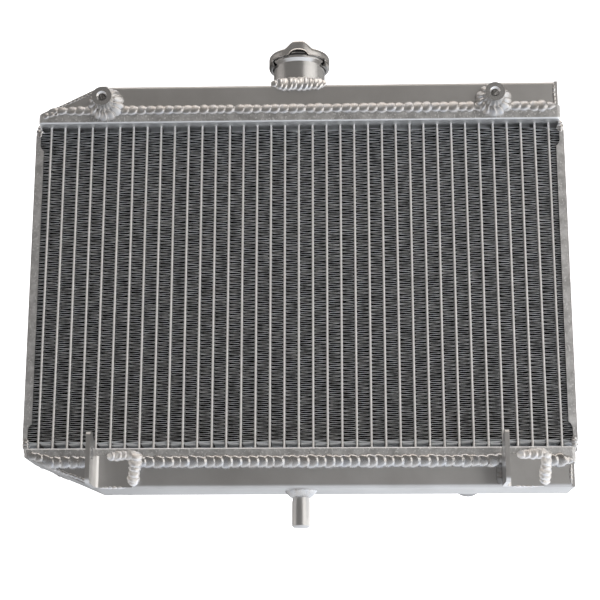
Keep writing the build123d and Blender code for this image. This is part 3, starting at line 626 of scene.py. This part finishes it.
def seam_welds(material, low_material):
    """Long seams between headers and tanks, front and back, with a short slanted bead at each left end."""
    shell_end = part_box("top_tank_shell")[1].x
    head_low, head_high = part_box("top_header")
    beads = []
    for facing in (-1, 1):
        y = (head_high.y - 0.7 * MM) * facing
        z = head_high.z - 0.6 * MM
        seam = [(head_low.x + 7 * MM, y, z), (shell_end, y, z)]
        beads.append((straight(*seam, (0, facing, 0.2), 9 * MM, (0.9, 1.12)), TOP_SEAM))
        corner = [(head_low.x + 2 * MM, y, z - 4.6 * MM), (head_low.x + 15 * MM, y, z - 1.2 * MM)]
        beads.append((straight(*corner, (0, facing, 0.2), 3 * MM), TOP_CORNER))
    weld_piece("top_seam_bead", beads, material, "top_seam_weld", 3)
    shell_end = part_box("bottom_tank_shell")[1].x
    head_low, head_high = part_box("bottom_header")
    beads = []
    for facing in (-1, 1):
        y = (head_high.y - 0.3 * MM) * facing
        z = head_low.z + 1.2 * MM
        seam = [(head_low.x + 13 * MM, y, z), (shell_end + 1 * MM, y, z)]
        beads.append((straight(*seam, (0, facing, -0.22), 9 * MM), BOTTOM_SEAM))
        corner = [(head_low.x + 2 * MM, y, z + 5.2 * MM), (head_low.x + 22 * MM, y, z + 0.6 * MM)]
        beads.append((straight(*corner, (0, facing, -0.2), 4 * MM), BOTTOM_CORNER))
    weld_piece("bottom_seam_bead", beads, low_material, "bottom_seam_weld", 9)


def end_welds(material):
    """Edges where the end sheets close the tanks: a slope on the left, upright on the right."""
    for side, up, slope_size, seed in (("top", 1, 0.65, 21), ("bottom", -1, 1.0, 31)):
        shell_low, shell_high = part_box(f"{side}_tank_shell")
        slope_low, slope_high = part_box(f"{side}_tank_left_end")
        head_low, head_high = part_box(f"{side}_header")
        far = shell_high.z if up > 0 else shell_low.z
        seam, lip = (head_high.z, head_low.z) if up > 0 else (head_low.z, head_high.z)
        share = (abs(seam - lip) - SLOPE_START[side]) / (abs(far - lip) - SLOPE_START[side])
        start_x = slope_low.x + share * (slope_high.x - slope_low.x)
        right = shell_high.x - 0.2 * MM
        beads = []
        for facing in (-1, 1):
            y = (shell_high.y - 0.4 * MM) * facing
            slope = [(start_x, y, seam), (slope_high.x, y, far - up * 0.5 * MM)]
            path = straight(*slope, (-0.5, facing, up * 0.5), size=(slope_size, slope_size))
            beads.append((path, SLOPE_EDGE))
            upright = [(right, y, seam), (right, y, far - up * 1.5 * MM)]
            beads.append((straight(*upright, (0.9, facing, 0)), RIGHT_EDGE))
        weld_piece(f"{side}_end_beads", beads, material, f"{side}_end_welds", seed)


def corner_tacks(material):
    """Short beads where the side plates meet the headers, at the core's four corners."""
    plate_low, plate_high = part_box("right_side_plate")
    beads = []
    for side in (-1, 1):
        for header, lip_end, step in (("top_header", 0, -1), ("bottom_header", 1, 1)):
            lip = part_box(header)[lip_end].z
            x = side * (plate_high.x - 2.6 * MM)
            for facing, y in ((-1, plate_low.y - 0.4 * MM), (1, plate_high.y + 0.4 * MM)):
                tack = [(x, y, lip - step * 1.0 * MM), (x, y, lip + step * 8.0 * MM)]
                beads.append((straight(*tack, (0, facing, 0)), CORNER_TACK))
    points, faces = joined_beads(beads, 91)
    mesh_piece("corner_tacks", points, faces, material, "radiator")


def right_heavy(radial):
    """A little more metal on a boss ring's right side and a little less on top."""
    return 1.0 + 0.16 * radial[0] - 0.08 * radial[2]


def boss_welds(material):
    """A leaning ring of puddles round each upper boss."""
    beads = []
    for side in ("left", "right"):
        low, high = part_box(f"upper_boss_{side}")
        centre = ((low.x + high.x) / 2, high.y - 2.0 * MM, (low.z + high.z) / 2)
        beads.append((ring(centre, (0, -1, 0), BOSS_RING_R, math.radians(40), right_heavy), BOSS_RING))
    weld_piece("upper_boss_beads", beads, material, "upper_boss_welds", 41)


def neck_climb(radial):
    """The neck's ring bead rises a little at its left and right."""
    return NECK_CLIMB * radial[0] ** 2


def neck_weld(material):
    """A ring round the neck's foot and a straight bead over the tank's front and back edges."""
    low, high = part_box("filler_neck")
    shell_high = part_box("top_tank_shell")[1]
    centre = ((low.x + high.x) / 2, (low.y + high.y) / 2, shell_high.z + 1.0 * MM)
    path = ring(centre, (0, 0, 1), NECK_RING_R, math.radians(68), lift=neck_climb)
    beads = [(path, NECK_RING)]
    for facing in (-1, 1):
        y = facing * (shell_high.y - 0.7 * MM)
        z = shell_high.z + 0.8 * MM
        edge = [(centre[0] - NECK_EDGE_HALF, y, z), (centre[0] + NECK_EDGE_HALF, y, z)]
        beads.append((straight(*edge, (0, facing, 0.3), 10 * MM), NECK_EDGE))
    weld_piece("neck_bead", beads, material, "neck_weld", 52)


def bracket_welds(material, burnt_shaded_root_material):
    """A heavy bead down the free edge and along the top, tacks below, and a dark root bead behind the
    blade, coloured for burnt metal and painted shade beside the blade.
    """
    beads = []
    roots = []
    for side in ("left", "right"):
        low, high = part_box(f"lower_bracket_{side}")
        plate_top = low.z + PLATE_HEIGHT
        middle = low.z + 11 * MM
        face = high.y - PLATE_SHEET
        edge = high.x
        y = face + 0.8 * MM
        upper = [(edge + 2.4 * MM, y, plate_top + 3 * MM), (edge + 1.6 * MM, y, middle)]
        beads.append((straight(*upper, (0.2, -1, 0), 3 * MM), PLATE_UPPER))
        lower = [(edge + 1.8 * MM, y, middle + 5 * MM), (edge + 0.2 * MM, y, low.z + 1 * MM)]
        beads.append((straight(*lower, (0.2, -1, 0), 3 * MM), PLATE_LOWER))
        y = face + 0.6 * MM
        top = [(edge - 18 * MM, y, plate_top - 0.4 * MM), (edge + 3.4 * MM, y, plate_top + 1.2 * MM)]
        beads.append((straight(*top, (0, -1, 0.2)), PLATE_TOP))
        y = face + 1.4 * MM
        z = low.z + 0.3 * MM
        below = [(low.x + 5 * MM, y, z), (edge - 4 * MM, y, z)]
        beads.append((straight(*below, (0, -1, -0.3)), PLATE_TACKS))
        x = low.x - 1.2 * MM
        y = high.y + 0.6 * MM
        back = [(x, y, low.z + 2 * MM), (x, y, low.z + 19 * MM)]
        roots.append((straight(*back, (-0.6, -1, 0)), BLADE_ROOT))
    weld_piece("lower_bracket_beads", beads, material, "lower_bracket_welds", 61)
    points, faces = joined_beads(roots, 65)
    mesh_piece("lower_bracket_root_beads", points, faces, burnt_shaded_root_material, "radiator")


def thin_below(radial):
    """Rings that hide behind the bottom tank are thin underneath."""
    return 1.0 - 0.55 * max(0.0, -radial[2])


def round_welds(material):
    """Beads round the peg, the two hose pipes and the drain boss."""
    low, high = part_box("locating_peg")
    centre = ((low.x + high.x) / 2, (low.y + high.y) / 2, -1.8 * MM)
    path = ring(centre, (0, 0, -1), PEG_RING_R, math.radians(42))
    weld_piece("peg_bead", [(path, PEG_RING)], material, "peg_weld", 71)
    shell_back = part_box("bottom_tank_shell")[1].y
    places = (
        ("inlet", "inlet_pipe", PIPE_RING_R, PIPE_RING, 85),
        ("outlet", "outlet_pipe", PIPE_RING_R, PIPE_RING, 86),
        ("drain", "drain_bung", DRAIN_RING_R, DRAIN_RING, 85),
    )
    for name, part, radius, shape, seed in places:
        low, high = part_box(part)
        centre = ((low.x + high.x) / 2, shell_back + 0.8 * MM, (low.z + high.z) / 2)
        path = ring(centre, (0, 1, 0), radius, math.radians(45), thin_below)
        weld_piece(f"{name}_bead", [(path, shape)], material, f"{name}_weld", seed)


# ---------------------------------------------------------------- pressure cap

def smooth(value):
    value = min(1.0, max(0.0, value))
    return value * value * (3 - 2 * value)


def cap_profile(angle, box, inset):
    """Radius and height down one spoke of the pressed shell; inset shrinks it to the inner face."""
    low, high = box
    radius = (high.x - low.x) / 2 - inset
    skirt_z = low.z + TAB_DROP
    top_z = skirt_z + CROWN_HEIGHT - inset
    ear_z = high.z - skirt_z - CROWN_HEIGHT
    side = abs(radius * math.cos(angle))
    to_ear = smooth((EAR_FOOT - side) / EAR_FLARE)
    from_tab = math.degrees(math.asin(abs(math.sin(angle))))
    to_tab = smooth((TAB_HALF_ANGLE - from_tab) / TAB_EDGE_ANGLE)
    corner = CROWN_BEND_R - (CROWN_BEND_R - EAR_BEND_R) * to_ear - inset * 0.6
    spoke = [(r, top_z) for r in CROWN_RADII + [radius - corner]]
    for k in range(1, 7):
        bend = k / 6 * math.pi / 2
        spoke.append((radius - corner + corner * math.sin(bend), top_z - corner + corner * math.cos(bend)))
    line = []
    for r, z in spoke:
        x = abs(r * math.cos(angle))
        raised = smooth((EAR_FOOT - x) / EAR_FLARE) * smooth((r - EAR_START_R) / EAR_RISE_LENGTH)
        line.append((r, z + ear_z * raised))
    arch = ARCH_HEIGHT * math.sqrt(max(0.0, 1 - (side / ARCH_HALF_W) ** 2))
    bottom = skirt_z + arch - (TAB_DROP - inset) * to_tab
    foot = max(0.0, TAB_FOOT * to_tab - inset)
    bend_r = foot * 0.75
    last = line[-1][1]
    line += [(radius, last + (bottom + bend_r - last) * k / 5) for k in range(1, 6)]
    for k in range(1, 5):
        turn = k / 4 * math.pi / 2
        line.append((radius - bend_r + bend_r * math.cos(turn), bottom + bend_r - bend_r * math.sin(turn)))
    line.append((radius - foot, bottom))
    return line


def make_cap(material):
    """Pressed cap with two finger ears, an arched gap under each and a hooked lock tab on each side."""
    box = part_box("cap_shell")
    low, high = box
    middle = ((low.x + high.x) / 2, (low.y + high.y) / 2)
    points = []
    for n in range(CAP_SPOKES):
        angle = 2 * math.pi * n / CAP_SPOKES
        line = cap_profile(angle, box, 0.0) + cap_profile(angle, box, CAP_SHEET)[::-1]
        for r, z in line:
            points.append((middle[0] + r * math.cos(angle), middle[1] + r * math.sin(angle), z))
    per = len(line)
    faces = []
    for n in range(CAP_SPOKES):
        here = n * per
        there = (n + 1) % CAP_SPOKES * per
        for k in range(per):
            j = (k + 1) % per
            faces.append((here + k, here + j, there + j, there + k))
    piece = mesh_piece("cap_pressing", points, faces, material, "cap_grip")
    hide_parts("cap_shell")


def coil(node, wire):
    """Points and faces of an open coil that fills a node's box."""
    low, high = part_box(node)
    middle = (low + high) / 2
    radius = (high.x - low.x - wire) / 2
    points = []
    for n in range(COIL_STATIONS):
        share = n / (COIL_STATIONS - 1)
        angle = 2 * math.pi * SPRING_TURNS * share
        for k in range(COIL_SIDES):
            turn = 2 * math.pi * k / COIL_SIDES
            reach = radius + wire / 2 * math.cos(turn)
            z = low.z + wire / 2 * (1 + math.sin(turn)) + (high.z - low.z - wire) * share
            points.append((middle.x + reach * math.cos(angle), middle.y + reach * math.sin(angle), z))
    last = len(points) - COIL_SIDES
    faces = [tuple(range(COIL_SIDES)), tuple(reversed(range(last, len(points))))]
    for here in range(0, last, COIL_SIDES):
        there = here + COIL_SIDES
        for k in range(COIL_SIDES):
            after = (k + 1) % COIL_SIDES
            faces.append((here + k, here + after, there + after, there + k))
    return points, faces


def make_springs(material):
    """Coils that ride on the bodies that hold them."""
    springs = (
        ("pressure_spring", "cap_carrier", "pressure_valve_lift", 1, PRESSURE_TRAVEL, PRESSURE_WIRE),
        ("vacuum_spring", "pressure_valve", "vacuum_valve_drop", 0, VACUUM_TRAVEL, VACUUM_WIRE),
    )
    for node, body, joint, held_end, travel, wire in springs:
        points, faces = coil(node, wire)
        piece = mesh_piece(node + "_coil", points, faces, material, body)
        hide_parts(node)
        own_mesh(piece)


# ---------------------------------------------------------------- stage

def make_camera():
    """Below and in front of the radiator, looking up at it, a little right of its middle."""
    core_low, core_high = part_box("core_tubes")
    middle = (core_low.z + core_high.z) / 2
    camera_data = bpy.data.cameras.new("camera")
    camera_data.sensor_width = CAMERA_FILM
    camera_data.lens = CAMERA_LENS
    camera = bpy.data.objects.new("camera", camera_data)
    x, y, z = CAMERA_PLACE
    camera.location = (x, y, middle + z)
    rise = math.radians(CAMERA_RISE)
    turn = math.radians(CAMERA_TURN)
    look = Vector((math.sin(turn) * math.cos(rise), math.cos(turn) * math.cos(rise), math.sin(rise)))
    camera.rotation_euler = look.to_track_quat("-Z", "Y").to_euler()
    bpy.context.scene.collection.objects.link(camera)
    bpy.context.scene.camera = camera


def soft_light(name, place, target, size, power, colour):
    data = bpy.data.lights.new(name, "AREA")
    data.shape = "RECTANGLE"
    data.size, data.size_y = size
    data.energy = power
    data.color = colour
    light = bpy.data.objects.new(name, data)
    light.location = place
    light.rotation_euler = (Vector(target) - Vector(place)).to_track_quat("-Z", "Y").to_euler()
    bpy.context.scene.collection.objects.link(light)


def plane(name, centre, size, colour, rotation=(0, 0, 0)):
    mesh = bpy.data.meshes.new(name)
    x, y = size[0] / 2, size[1] / 2
    mesh.from_pydata([(-x, -y, 0), (x, -y, 0), (x, y, 0), (-x, y, 0)], [], [(0, 1, 2, 3)])
    material, tree, shader = new_material(name, 0.0, 0.8)
    cloud = noise(tree, object_points(tree), 2.0, 2)
    tone = ramp(tree, cloud, [(0.3, tuple(c * 0.98 for c in colour)), (0.7, colour)])
    tree.links.new(tone, shader.inputs["Base Color"])
    shader.inputs["Emission Color"].default_value = (*colour, 1)
    mesh.materials.append(material)
    obj = bpy.data.objects.new(name, mesh)
    obj.location = centre
    obj.rotation_euler = rotation
    bpy.context.scene.collection.objects.link(obj)
    return obj, tree, shader


def paint_floor_glow(tree, shader):
    """A floor whose painted glow is strongest under and behind the radiator, more to the right, and dark
    far in front.
    """
    glow, places = FLOOR_GLOW_Y
    depth = spread(tree, along(tree, "Y"), *glow, *places)
    glow, places = FLOOR_GLOW_X
    width = spread(tree, along(tree, "X"), *glow, *places)
    tree.links.new(calculate(tree, "MULTIPLY", depth, width), shader.inputs["Emission Strength"])


def make_stage():
    """Floor, backdrop, six soft lights and a dim sky."""
    low, high = cad_box
    middle = (low.z + high.z) / 2
    _, tree, shader = plane("floor", (0, 0.6, low.z - FLOOR_DROP), (6, 6), (0.8, 0.84, 0.9))
    paint_floor_glow(tree, shader)
    upright = (math.pi / 2, 0, 0)
    backdrop, _, shader = plane("backdrop", (0, 1.6, middle + 0.8), (6, 4), (1.0, 1.0, 1.0), upright)
    shader.inputs["Emission Strength"].default_value = BACKDROP_GLOW
    backdrop.visible_glossy = False
    backdrop.visible_diffuse = False
    for name, (place, size, power, colour) in LIGHTS.items():
        soft_light(name, place, (0, 0, middle), size, power, colour)
    world = bpy.data.worlds.new("studio")
    bpy.context.scene.world = world
    world.use_nodes = True
    sky = world.node_tree.nodes["Background"]
    sky.inputs["Color"].default_value = SKY_COLOUR
    sky.inputs["Strength"].default_value = SKY_STRENGTH
    bpy.context.scene.view_settings.view_transform = "Standard"


# ---------------------------------------------------------------- build

def build():
    """Materials on the CAD nodes, then the pieces that replace or join them."""
    tank = satin_aluminium()
    sheet = speckled_aluminium("sheet_aluminium", base=0.74, speck_share=0.575)
    weld = weld_bead_metal("weld_metal", level=0.72, roughness=0.36, crumple=0.05 * MM)
    low_weld = weld_bead_metal("low_weld_metal", level=0.68, roughness=0.24, crumple=0.05 * MM)
    neck_metal = weld_bead_metal("neck_weld_metal", level=0.9, roughness=0.28, crumple=0.05 * MM)
    # dark for burnt weld metal, and painted shade beside the bracket blade
    burnt_shaded_root_weld = weld_bead_metal("burnt_shaded_root_weld_metal", level=0.3, roughness=0.4, crumple=0.2 * MM)
    heavy_weld = weld_bead_metal("heavy_weld_metal", level=0.95, roughness=0.42, crumple=0.4 * MM)
    turned = turned_metal("turned_aluminium", roughness=0.24, level=0.82)
    bracket = turned_metal("bracket_aluminium", roughness=0.32, level=0.77)
    satin = turned_metal("satin_turned_aluminium", roughness=0.36, level=0.76)
    # level 0.45: painted shade, the pipes behind the bottom tank are coloured dark
    pipe = turned_metal("shaded_pipe_aluminium", roughness=0.42, level=0.45)
    cap_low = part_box("cap_shell")[0].z
    # heights of a band at the cap's lower edge that is coloured dark
    dark_band_heights = (cap_low - 1 * MM, cap_low + TAB_DROP - 1 * MM)
    cap = turned_metal("cap_steel", roughness=0.25, level=0.84, warmth=0.03, dull_band=dark_band_heights)
    spring = turned_metal("spring_steel", roughness=0.22, level=0.62)
    washer = turned_metal("aluminium_washer", roughness=0.4, level=0.6)
    plug = turned_metal("plug_steel", roughness=0.34, level=0.6)
    rubber = black_rubber()
    brass = brass_metal()
    dress(tank, "top_tank_shell", "top_tank_left_end", "top_tank_right_end",
          "bottom_tank_shell", "bottom_tank_left_end", "bottom_tank_right_end")
    dress(sheet, "left_side_plate", "right_side_plate")
    for header, lip in (("top_header", 0), ("bottom_header", 1)):
        # the lip's height, where the painted highlight goes
        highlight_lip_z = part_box(header)[lip].z
        dress(speckled_aluminium(f"{header}_aluminium", base=0.7, speck_share=0.57, highlight_lip_z=highlight_lip_z), header)
    dress(tube_metal(), "core_tubes")
    dress(turned, "filler_neck", "overflow_pipe", "upper_boss_left", "upper_boss_right", "drain_bung")
    dress(satin, "locating_peg")
    dress(pipe, "inlet_pipe", "outlet_pipe")
    dress(bracket, "lower_bracket_left", "lower_bracket_right")
    dress(cap, "cap_shell", "cap_rivet")
    dress(spring, "cap_spring_disc", "valve_bell", "pressure_valve_plate", "vacuum_guide")
    dress(rubber, "cap_gasket", "pressure_valve_gasket")
    dress(brass, "vacuum_valve")
    dress(washer, "drain_washer")
    dress(plug, "drain_plug")
    make_fins(fin_foil())
    seam_welds(weld, low_weld)
    end_welds(low_weld)
    corner_tacks(low_weld)
    boss_welds(weld)
    neck_weld(neck_metal)
    bracket_welds(heavy_weld, burnt_shaded_root_weld)
    round_welds(low_weld)
    make_cap(cap)
    make_springs(spring)


make_camera()
make_stage()
build()
